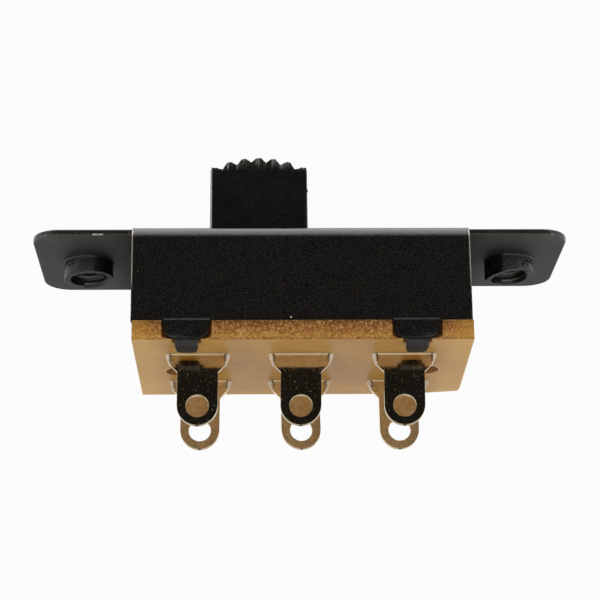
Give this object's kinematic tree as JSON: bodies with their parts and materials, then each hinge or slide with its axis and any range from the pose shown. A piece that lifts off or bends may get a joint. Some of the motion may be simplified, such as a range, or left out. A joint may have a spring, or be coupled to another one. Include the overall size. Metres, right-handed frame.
{
  "type": "slide switch",
  "caption": "Panel slide switch with a ridged knob, a folded steel bracket with screw ears and a board of solder lugs in two rows.",
  "frame": {"origin": "centre of the line between the two ear holes, on the mounting plate's upper face", "axes": "+X along the switch, the way the knob travels; +Z out of the plate towards the knob; front at -Y"},
  "size_m": [0.0354, 0.0132, 0.0188],
  "materials": {
    "black_paint": "satin black, lightly speckled",
    "black_plastic": "matte moulded",
    "phenolic": "tan paper phenolic, satin faces, fibrous cut edges",
    "plated_lug": "bright plated, slightly tarnished",
    "contact_metal": "satin sprung bronze",
    "spring_wire": "bright wire"
  },
  "bodies": {
    "housing": {"bracket": "black_paint", "terminal_board": "phenolic", "terminal_front_left": "plated_lug", "terminal_front_centre": "plated_lug", "terminal_front_right": "plated_lug", "terminal_rear_left": "plated_lug", "terminal_rear_centre": "plated_lug", "terminal_rear_right": "plated_lug"},
    "slider": {"slider": "black_plastic", "bridge_contact_front": "contact_metal", "bridge_contact_rear": "contact_metal", "contact_spring_front": "spring_wire", "contact_spring_rear": "spring_wire"}
  },
  "joints": [
    {"name": "knob_slide", "type": "slide", "parent": "housing", "child": "slider", "axis": [1, 0, 0], "range_m": [0, 0.0055]}
  ]
}
